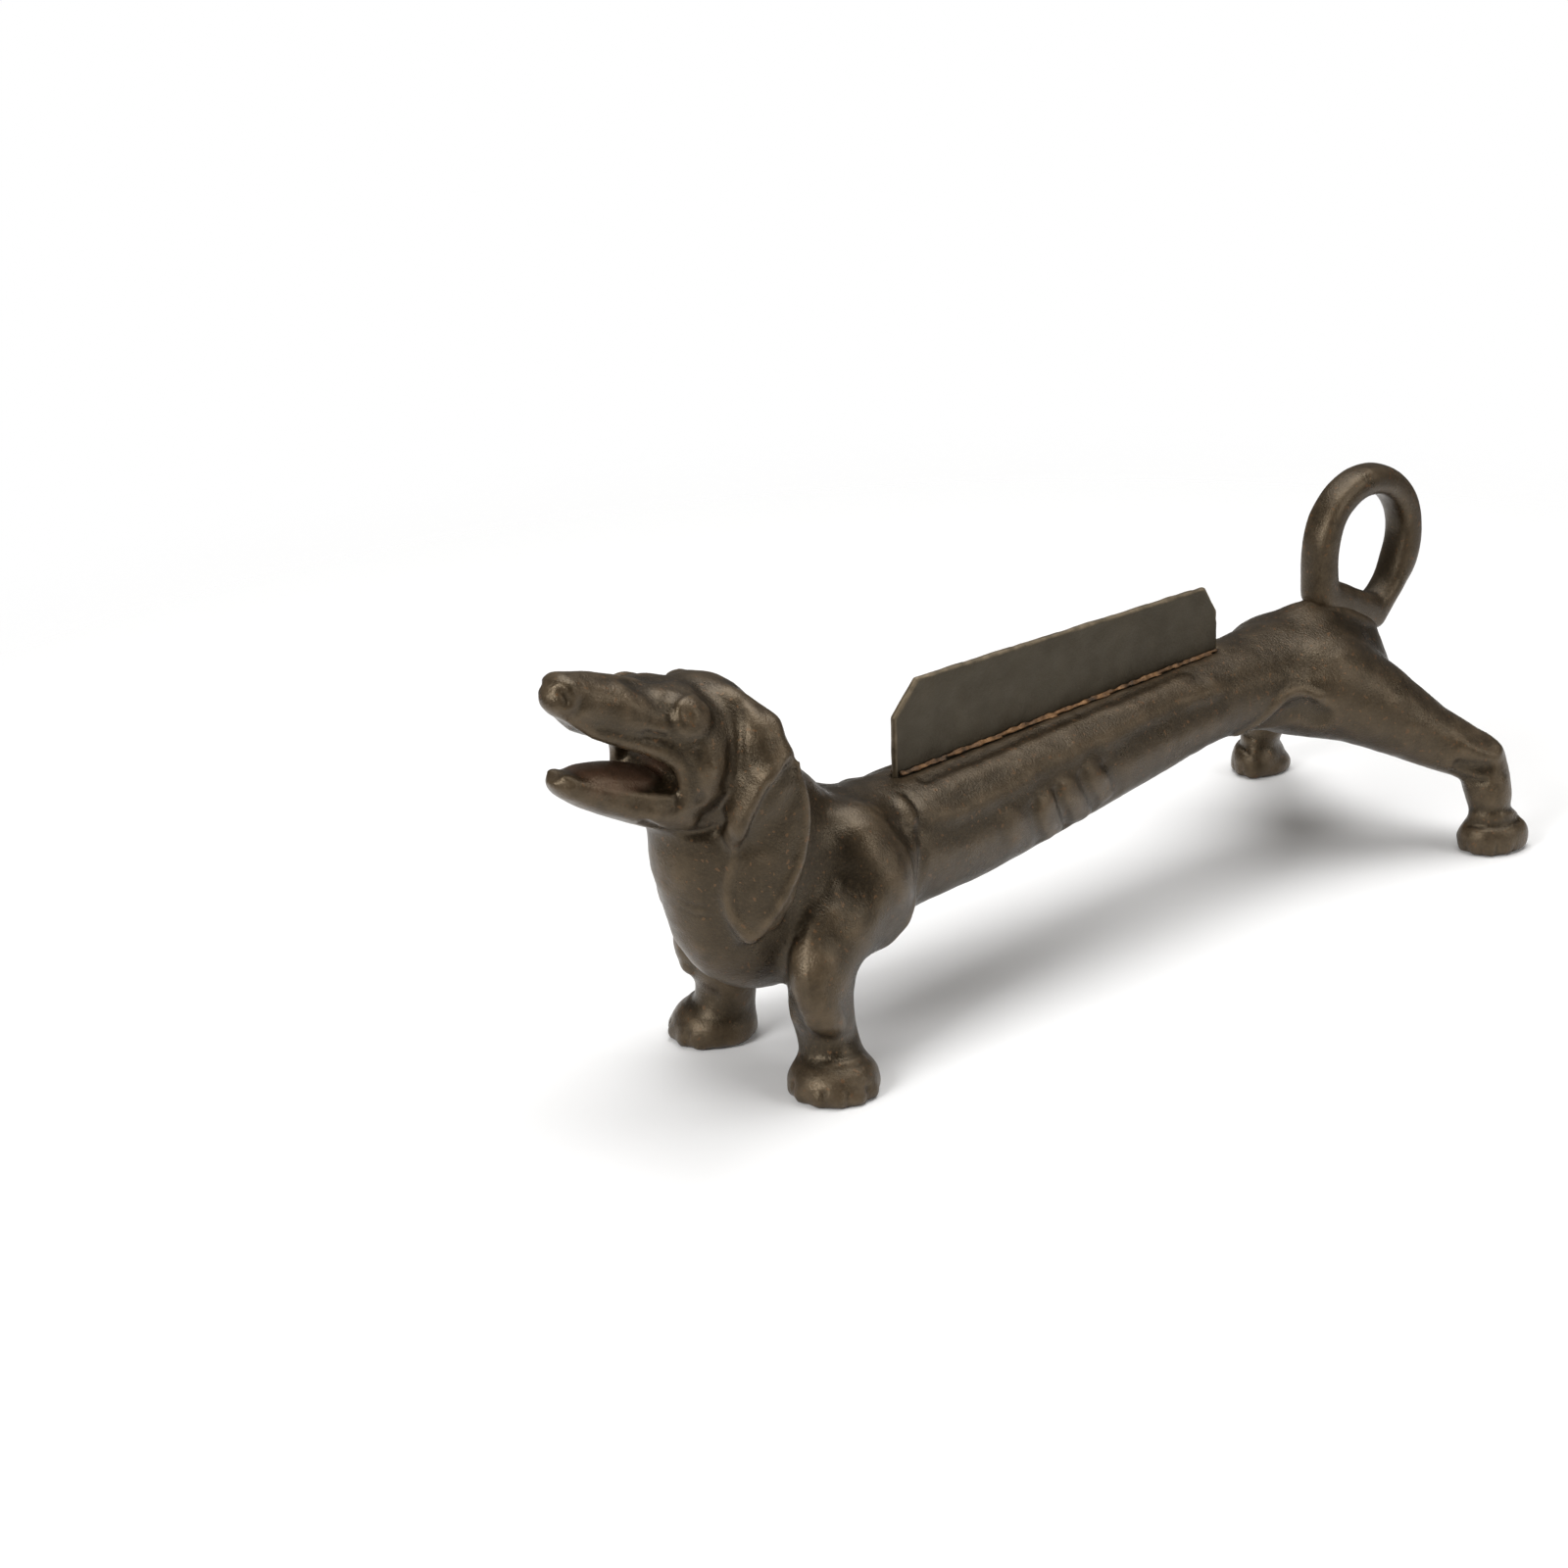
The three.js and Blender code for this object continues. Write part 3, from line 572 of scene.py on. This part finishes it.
# ridges and hollows: name, radius, height, points along the surface in mm
SHAPING = [
    ("eye rim", 2.0, 0.5, [(22.3, -211.2, 180.4), (20.8, -206.4, 182.9), (18.2, -198.2, 181.3)]),
    ("eye hollow", 3.4, -0.8, [(24.5, -209.0, 178.0), (24.9, -208.4, 176.4)]),
    ("inner corner", 4.0, -0.7, [(15.6, -210.4, 183.4), (20.6, -214.3, 179.8), (22.0, -213.6, 173.6)]),
    ("nostril", 2.6, -1.9, [(6.4, -256.6, 196.5), (8.4, -255.4, 194.0), (8.6, -254.4, 191.4)]),
    ("nose edge", 2.8, -0.9, [(7.0, -245.0, 200.0), (11.0, -247.4, 195.5), (10.8, -248.6, 190.0),
                              (8.6, -250.5, 185.6)]),
    ("stop hollow", 9.0, -1.3, [(7.0, -219.0, 190.5), (12.5, -219.8, 187.0), (18.0, -218.0, 181.0)]),
    ("lip hollow", 4.6, -1.2, [(16.4, -222.5, 171.0), (19.8, -216.6, 168.0)]),
    ("ear ridge", 4.4, 1.3, [(41.6, -179.0, 150.4), (39.2, -186.0, 139.6), (35.0, -190.8, 126.0),
                             (26.6, -190.0, 112.0), (22.6, -191.0, 101.0), (21.8, -190.4, 89.8),
                             (23.9, -188.4, 81.6), (27.4, -183.7, 74.7)]),
    ("cheek line", 3.4, -1.2, [(25.8, -205.4, 161.9), (26.4, -203.6, 155.2), (26.1, -203.4, 148.5),
                               (25.6, -204.6, 141.0)]),
    ("cheek bump", 3.4, 1.0, [(29.4, -200.8, 154.8), (29.6, -200.0, 153.6)]),
    ("throat", 4.0, -1.8, [(16.7, -226.1, 134.5), (13.0, -213.3, 126.6), (14.5, -203.0, 122.6),
                           (19.1, -194.2, 122.9), (26.0, -193.9, 128.4)]),
    ("ear front groove", 5.0, -1.3, [(24.6, -182.6, 175.2), (28.1, -186.3, 167.1), (29.3, -189.0, 159.2),
                                     (29.5, -191.5, 152.2), (28.8, -193.7, 146.4)]),
    ("chest wrinkle", 2.0, -0.5, [(6.2, -204.5, 92.0), (10.0, -202.0, 89.5), (15.0, -197.0, 89.0)]),
    ("chest wrinkle", 2.0, -0.5, [(6.2, -203.0, 87.0), (11.0, -200.0, 84.5), (16.0, -195.0, 84.0)]),
    ("shoulder crest", 10.0, 0.8, [(24.1, -140.3, 107.9), (29.3, -138.7, 96.7), (31.8, -142.2, 86.0),
                                   (35.7, -152.4, 76.9)]),
    ("shoulder hollow", 13.0, -1.5, [(26.0, -118.0, 99.0), (32.0, -120.0, 85.0), (34.0, -122.0, 72.0)]),
    ("knee end", 5.0, 1.0, [(39.4, -164.0, 34.0), (44.0, -159.5, 34.6)]),
    ("fore wrist groove", 6.0, -1.2, [(27.0, -162.3, 22.8), (33.2, -164.6, 24.0), (41.4, -163.2, 24.8),
                                      (47.4, -152.6, 24.4), (44.7, -142.3, 23.6)]),
    ("fore wrist band", 2.6, 0.9, [(29.6, -164.1, 15.8), (36.6, -166.0, 16.8), (43.6, -162.6, 17.0),
                                   (49.6, -153.8, 16.4), (48.9, -143.4, 15.4)]),
    ("fore toe groove", 1.7, -1.0, [(41.4, -171.6, 6.8), (41.8, -172.6, 3.5), (42.0, -172.4, 0.5)]),
    ("fore toe groove", 1.7, -1.0, [(49.2, -167.2, 6.8), (50.4, -168.4, 3.5), (50.3, -168.2, 0.5)]),
    ("fore toe groove", 1.7, -1.0, [(55.0, -159.5, 6.6), (56.8, -160.3, 3.4), (56.7, -160.2, 0.5)]),
    ("fore toe groove", 1.7, -1.0, [(57.2, -150.2, 6.2), (58.6, -150.2, 3.4), (58.6, -150.2, 0.5)]),
    ("fore toe groove", 1.7, -1.0, [(33.4, -170.0, 6.8), (33.4, -171.6, 3.6), (33.4, -171.6, 0.5)]),
    ("rib", 7.0, 0.9, [(27.0, -14.5, 84.0), (27.9, -15.7, 79.2), (26.9, -12.8, 72.8), (22.2, -7.0, 64.5)]),
    ("rib", 7.0, 1.1, [(26.0, -1.1, 88.0), (27.1, 0.6, 83.0), (26.4, 5.7, 76.0), (21.6, 13.7, 67.1)]),
    ("rib", 7.0, 0.9, [(24.6, 15.9, 91.0), (25.7, 16.6, 87.3), (26.5, 19.8, 82.3), (24.4, 25.6, 74.6)]),
    ("rib", 9.0, 1.0, [(27.8, -37.2, 83.0), (28.7, -35.5, 79.1), (28.1, -33.9, 72.4)]),
    ("rib gap", 4.6, -0.9, [(27.7, -22.6, 84.3), (28.0, -23.4, 80.9),
                            (27.3, -20.6, 72.2), (22.4, -14.0, 63.5)]),
    ("rib gap", 3.8, -1.6, [(27.0, -7.8, 86.5), (27.5, -6.8, 82.2), (26.3, -2.6, 74.9), (20.2, 4.6, 64.5)]),
    ("rib gap", 4.0, -1.0, [(26.0, 8.2, 88.5), (26.7, 9.4, 84.6), (25.9, 13.8, 77.4), (22.2, 20.6, 69.5)]),
    ("rib gap", 5.0, -0.7, [(25.4, 25.1, 89.0), (25.7, 26.7, 86.7), (25.3, 31.3, 79.2), (23.6, 35.5, 73.6)]),
    ("plate foot channel", 5.0, -0.8, [(9.6, -70.0, 106.4), (9.2, -43.8, 106.8), (8.9, -0.6, 108.0),
                                       (8.7, 43.3, 109.0), (7.4, 91.0, 110.3)]),
    ("plate foot ridge", 8.0, 0.7, [(17.5, -72.6, 102.3), (16.5, -34.2, 103.6), (14.1, 6.7, 105.9),
                                    (12.1, 54.1, 107.9), (11.2, 86.9, 108.9)]),
    ("thigh fold", 4.6, 1.5, [(15.2, 120.5, 74.7), (19.6, 128.6, 78.1), (23.8, 134.9, 85.3),
                              (26.8, 142.8, 89.7), (29.2, 150.3, 89.5), (32.0, 157.2, 85.4)]),
    ("thigh hollow", 9.5, -2.8, [(14.5, 128.0, 68.0), (21.0, 136.5, 74.0), (25.4, 144.5, 79.0),
                                 (28.4, 151.8, 79.4), (31.0, 158.7, 74.9)]),
    ("hock cap", 5.0, 1.0, [(67.0, 220.3, 53.9), (73.6, 227.9, 48.6), (76.0, 233.7, 47.2),
                            (74.7, 238.0, 49.2)]),
    ("hock dimple", 5.0, -1.5, [(65.1, 219.4, 44.8), (69.5, 223.6, 42.6), (74.0, 229.0, 42.0)]),
    ("hock shadow", 3.6, -1.2, [(63.1, 216.4, 38.8), (67.5, 222.1, 35.6), (73.7, 227.2, 35.6)]),
    ("hind ankle band", 3.4, 1.0, [(66.4, 225.6, 17.0), (75.8, 226.7, 18.2), (80.5, 232.4, 18.2),
                                   (77.4, 246.4, 15.7)]),
    ("hind ankle groove", 2.4, -1.1, [(68.1, 222.1, 13.0), (77.2, 225.2, 14.0), (82.5, 232.0, 14.0),
                                      (83.3, 242.8, 14.0)]),
    ("hind toe groove", 1.6, -1.0, [(70.2, 220.8, 7.0), (70.2, 220.2, 3.5), (70.2, 220.2, 0.5)]),
    ("hind toe groove", 1.6, -1.0, [(76.8, 222.2, 7.0), (77.2, 221.8, 3.5), (77.2, 221.8, 0.5)]),
    ("hind toe groove", 1.6, -1.0, [(82.4, 227.2, 7.0), (82.8, 227.0, 3.5), (82.8, 227.0, 0.5)]),
    ("hind toe groove", 1.6, -1.0, [(85.4, 235.2, 7.0), (86.0, 235.4, 3.5), (86.0, 235.4, 0.5)]),
]
# fold edges: name, radius, height, softness, points along the fold in mm
FOLDS = [
    ("ear fold edge", 11.0, -2.6, 1.8, [(42.5, -168.6, 152.0), (41.5, -173.6, 151.0), (41.2, -182.3, 144.6),
                                       (37.0, -188.2, 131.6), (31.0, -190.0, 120.0)]),
    ("shoulder edge", 8.0, -1.3, 2.0, [(17.3, -86.8, 102.6), (23.3, -88.2, 97.3), (28.1, -91.8, 88.8),
                                      (31.0, -95.2, 76.8), (32.2, -98.2, 65.6), (33.4, -103.6, 57.2)]),
    ("flank edge", 14.0, 1.5, 4.0, [(22.6, -104.0, 100.0), (24.4, -88.0, 96.0), (26.4, -73.2, 92.2),
                                   (26.7, -54.9, 91.6), (26.2, -39.8, 92.6), (25.6, -24.5, 93.6),
                                   (24.6, -9.9, 95.6), (24.2, 4.9, 95.2), (23.2, 16.9, 96.9),
                                   (23.2, 31.9, 96.0), (21.7, 49.6, 99.1), (20.6, 75.8, 99.8),
                                   (21.2, 98.1, 99.7)]),
]
for name, radius, height, line in SHAPING:
    stroke(dog, line, radius, height)
for name, radius, height, soft, line in FOLDS:
    step(dog, line, radius, height, soft)

ripple(dog, 14.0, 0.3, 3.0)
ripple(dog, 5.0, 0.14, 8.0)
finish_with(dog, "SMOOTH", factor=0.5, iterations=1)
put_points(dog, np.clip(points_of(dog), DOG_LOWEST, DOG_HIGHEST))
# marks the casting's ridges for a lighter colour: partly rubbed wear, partly painted highlight
mark_wear_and_ridge_highlight(dog, rounds=60, least=0.12, span=0.6)
MOUTH_CENTRE, MOUTH_RADII = [0, -228, 154], [17, 24, 11]
MOUTH_REACH, MOUTH_FADE = 1.12, 0.2
from_mouth = np.linalg.norm((points_of(dog) - MOUTH_CENTRE) / MOUTH_RADII, axis=1)
mark(dog, "mouth", (MOUTH_REACH - from_mouth) / MOUTH_FADE)

# ---------------------------------------------------------------- the ring, the plate and the braze

ring = rough_from("tail_ring", "tail_ring_cast")
finish_with(ring, "REMESH", mode="VOXEL", voxel_size=1.1 * MM)
finish_with(ring, "SMOOTH", factor=0.5, iterations=46)
SHRUNK_BY_SMOOTHING = 1.0
put_points(ring, points_of(ring) + normals_of(ring) * SHRUNK_BY_SMOOTHING)
ripple(ring, 12.0, 0.4, 5.0)
put_points(ring, np.minimum(points_of(ring), RING_HIGHEST))
# marks the ring's ridges for a lighter colour: partly rubbed wear, partly painted highlight
mark_wear_and_ridge_highlight(ring, rounds=40, least=0.15, span=0.8)
mark(ring, "mouth", np.zeros(len(ring.data.vertices)))

plate = rough_from("log_plate", "log_plate_bar")
select_only(plate)
bpy.ops.object.mode_set(mode="EDIT")
bpy.ops.mesh.select_all(action="SELECT")
bpy.ops.mesh.dissolve_limited(angle_limit=0.01)
bpy.ops.object.mode_set(mode="OBJECT")
finish_with(plate, "BEVEL", width=0.6 * MM, segments=3, limit_method="ANGLE", angle_limit=0.5)
finish_with(plate, "REMESH", mode="VOXEL", voxel_size=0.8 * MM)
finish_with(plate, "SMOOTH", factor=0.5, iterations=2)
ripple(plate, 9.0, 0.30, 2.0)
mark_wear_and_ridge_highlight(plate, rounds=16, least=0.16, span=0.25)

beads = []
for node_name, piece_name in (("braze_fillet_left", "braze_bead_left"),
                              ("braze_fillet_right", "braze_bead_right")):
    bead = rough_from(node_name, piece_name)
    finish_with(bead, "REMESH", mode="VOXEL", voxel_size=0.6 * MM)
    finish_with(bead, "SMOOTH", factor=0.5, iterations=3)
    ripple(bead, 3.5, 0.8, 4.0)
    beads.append(bead)

for piece, node_name, finish, slot in (
        (dog, "dog_casting", waxed_iron, "waxed_iron"),
        (ring, "tail_ring", waxed_iron, "waxed_iron"),
        (plate, "log_plate", bar_steel, "bar_steel"),
        (beads[0], "braze_fillet_left", braze, "braze"),
        (beads[1], "braze_fillet_right", braze, "braze")):
    select_only(piece)
    bpy.ops.object.shade_smooth()
    piece.data.materials.clear()
    piece.data.materials.append(finish)
    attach(piece, "root")
    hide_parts(node_name)

# ---------------------------------------------------------------- floor and light

FLOOR_RADIUS, FLOOR_DROP = 1.9, 0.0006
FADE_STARTS, FADE_ENDS = 0.44, 0.85

bpy.ops.mesh.primitive_circle_add(vertices=96, radius=FLOOR_RADIUS, fill_type="NGON",
                                  location=(0, 0, -FLOOR_DROP))
floor = bpy.context.object
floor.name = "floor"
floor_paint, tree, shader, place = new_finish("floor_paint")
shader.inputs["Base Color"].default_value = (0.90, 0.90, 0.90, 1.0)
shader.inputs["Roughness"].default_value = 0.7
# the floor fades out beyond the shadow
from_middle = tree.nodes.new("ShaderNodeVectorMath")
from_middle.operation = "LENGTH"
link(tree, place, from_middle.inputs[0])
fade = tree.nodes.new("ShaderNodeMapRange")
fade.interpolation_type = "SMOOTHSTEP"
fade.inputs["From Min"].default_value = FADE_STARTS
fade.inputs["From Max"].default_value = FADE_ENDS
link(tree, from_middle.outputs["Value"], fade.inputs["Value"])
clear = tree.nodes.new("ShaderNodeBsdfTransparent")
faded = tree.nodes.new("ShaderNodeMixShader")
link(tree, fade.outputs["Result"], faded.inputs["Fac"])
link(tree, shader.outputs["BSDF"], faded.inputs[1])
link(tree, clear.outputs["BSDF"], faded.inputs[2])
link(tree, faded.outputs["Shader"], tree.nodes["Material Output"].inputs["Surface"])
floor.data.materials.append(floor_paint)


def soft_box(name, place, aim, width, height, power):
    """A soft lamp of this size in metres and power in watts, turned to its aim."""
    data = bpy.data.lights.new(name, "AREA")
    data.shape = "RECTANGLE"
    data.size = width
    data.size_y = height
    data.energy = power
    lamp = bpy.data.objects.new(name, data)
    bpy.context.collection.objects.link(lamp)
    lamp.location = place
    lamp.rotation_euler = (Vector(aim) - Vector(place)).to_track_quat("-Z", "Y").to_euler()


soft_box("overhead_box", (-0.1, 0.3, 1.7), (0, 0, 0), 1.7, 1.3, 31.0)
soft_box("left_box", (0.1, -1.7, 1.0), (0, 0, 0.1), 0.8, 0.8, 25.0)
soft_box("right_box", (1.6, 0.7, 0.9), (0, 0, 0.1), 0.8, 0.8, 9.0)

world = bpy.data.worlds.new("studio")
bpy.context.scene.world = world
world.use_nodes = True
tree = world.node_tree
tree.nodes.clear()
seen = tree.nodes.new("ShaderNodeLightPath")
backdrop = tree.nodes.new("ShaderNodeBackground")
backdrop.inputs["Color"].default_value = (1, 1, 1, 1)
backdrop.inputs["Strength"].default_value = 1.0
room = tree.nodes.new("ShaderNodeBackground")
room.inputs["Color"].default_value = (1.0, 0.96, 0.90, 1)
room.inputs["Strength"].default_value = 0.15
either = tree.nodes.new("ShaderNodeMixShader")
out = tree.nodes.new("ShaderNodeOutputWorld")
link(tree, seen.outputs["Is Camera Ray"], either.inputs["Fac"])
link(tree, room.outputs["Background"], either.inputs[1])
link(tree, backdrop.outputs["Background"], either.inputs[2])
link(tree, either.outputs["Shader"], out.inputs["Surface"])
